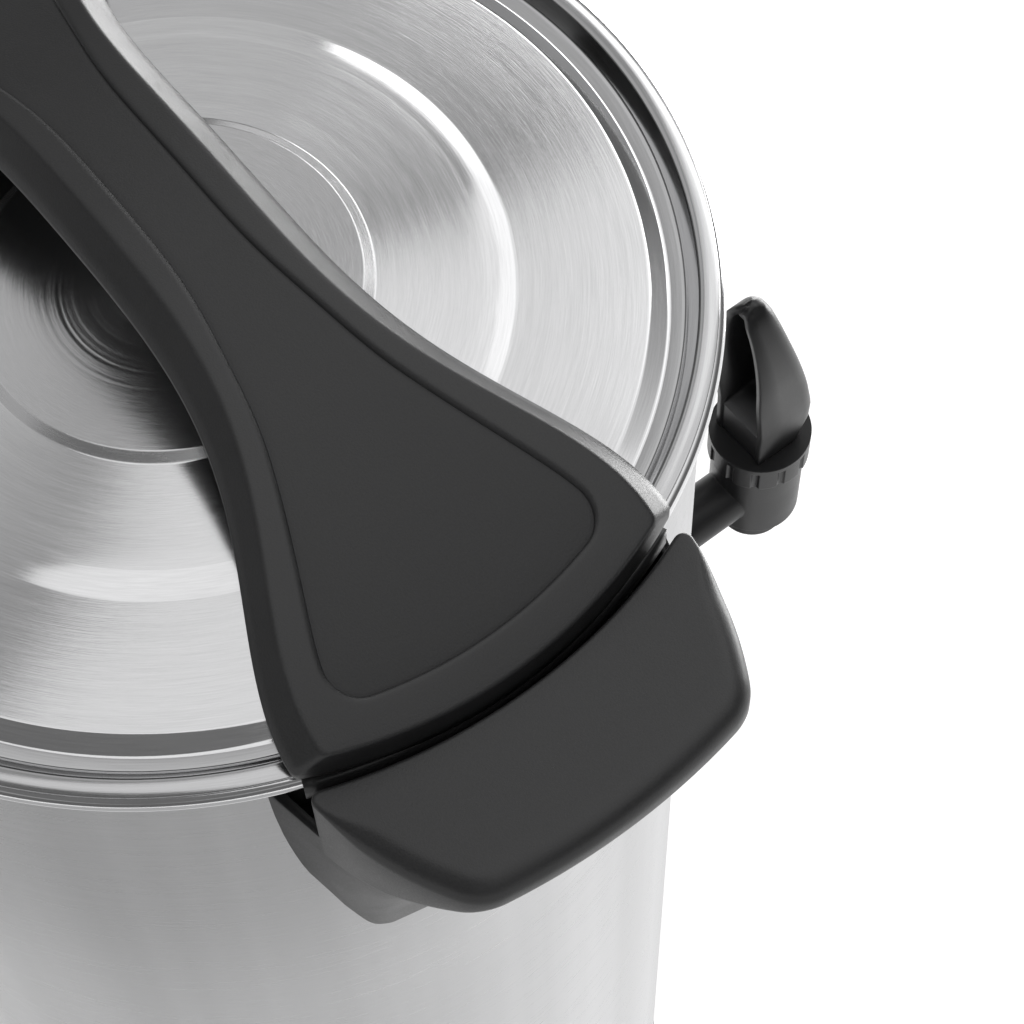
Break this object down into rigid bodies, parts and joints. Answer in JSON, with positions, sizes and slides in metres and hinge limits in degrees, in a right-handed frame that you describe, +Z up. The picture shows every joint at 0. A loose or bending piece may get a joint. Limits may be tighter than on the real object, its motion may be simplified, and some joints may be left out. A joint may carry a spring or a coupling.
{
  "type": "hot water urn",
  "caption": "Tall brushed steel hot water urn: a spun lid under a black bow handle, black side handles, a lever tap, a control panel and a black base ring on rubber feet.",
  "frame": {"origin": "on the table, under the vessel's axis", "axes": "+Z up along the vessel's axis, -Y out through the tap, +X and -X out through the side handles"},
  "size_m": [0.316, 0.3235, 0.5755],
  "materials": {
    "wall_steel": "brushed round the vessel",
    "floor_steel": "satin sheet",
    "lid_steel": "spun, with polished bands",
    "seal_silicone": "translucent white silicone",
    "bow_black": "fine spark-eroded grain",
    "inlay_black": "fine spark-eroded grain",
    "ear_black": "fine spark-eroded grain",
    "fixing_steel": "bright zinc",
    "tap_black": "satin moulding",
    "base_black": "satin moulding",
    "plate_steel": "zinc sheet",
    "foot_rubber": "matt",
    "heater_alloy": "cast and sand-blasted",
    "control_black": "satin moulding",
    "rocker_red": "clear red moulding",
    "lamp_amber": "clear amber moulding",
    "terminal_white": "natural moulding"
  },
  "bodies": {
    "vessel": {"tank_wall": "wall_steel", "skirt_wall": "wall_steel", "tank_floor": "floor_steel", "ear_grip_left": "ear_black", "ear_grip_right": "ear_black", "ear_bracket_left": "ear_black", "ear_bracket_right": "ear_black", "ear_screws": "fixing_steel", "ear_washers": "seal_silicone", "grip_screws": "fixing_steel", "tap_body": "tap_black", "tap_saddle": "tap_black", "tap_inner_washer": "seal_silicone", "tap_nut": "fixing_steel", "tap_bonnet": "tap_black", "tap_spring": "fixing_steel", "base_ring": "base_black", "base_plate": "plate_steel", "feet": "foot_rubber", "foot_screws": "fixing_steel", "cord_gland": "base_black", "gland_nut": "base_black", "heater_plate": "heater_alloy", "heater_tube": "heater_alloy", "thermal_cutout": "control_black", "control_panel": "base_black", "thermostat_body": "control_black", "switch_housing": "control_black", "pilot_lamps": "lamp_amber", "terminal_block": "terminal_white"},
    "seal": {"lid_gasket": "seal_silicone"},
    "lid": {"lid_shell": "lid_steel", "bow_handle": "bow_black", "bow_inlay": "inlay_black", "bow_base": "bow_black", "bow_screws": "fixing_steel", "bow_washers": "fixing_steel"},
    "valve": {"tap_stem": "fixing_steel", "tap_seat": "seal_silicone", "tap_pin": "fixing_steel"},
    "lever": {"tap_lever": "tap_black"},
    "dial": {"thermostat_knob": "control_black", "thermostat_shaft": "fixing_steel"},
    "rocker": {"power_rocker": "rocker_red"}
  },
  "joints": [
    {"name": "lid_lift", "type": "slide", "parent": "vessel", "child": "seal", "axis": [0, 0, 1], "range_m": [0, 0.15]},
    {"name": "lid_turn", "type": "hinge", "parent": "seal", "child": "lid", "pos_m": [0, 0, 0.53], "axis": [0, 0, 1], "range_deg": [0, 45]},
    {"name": "tap_stem_slide", "type": "slide", "parent": "vessel", "child": "valve", "axis": [0, 0, 1], "range_m": [0, 0.00279], "deforming": ["tap_spring"]},
    {"name": "tap_lever_tilt", "type": "hinge", "parent": "valve", "child": "lever", "pos_m": [0, -0.187, 0.2858], "axis": [1, 0, 0], "range_deg": [0, 20], "stiffness_Nm_per_rad": 0.5, "springref_deg": -5.73},
    {"name": "thermostat_turn", "type": "hinge", "parent": "vessel", "child": "dial", "pos_m": [0, -0.13, 0.084], "axis": [0, -1, 0], "range_deg": [0, 270]},
    {"name": "rocker_tilt", "type": "hinge", "parent": "vessel", "child": "rocker", "pos_m": [0.04514, -0.11173, 0.084], "axis": [-0.9272, -0.3746, 0], "range_deg": [0, 20]}
  ],
  "couplings": [
    {"joint": "tap_lever_tilt", "follows": "tap_stem_slide", "rad_per_m": 125}
  ]
}
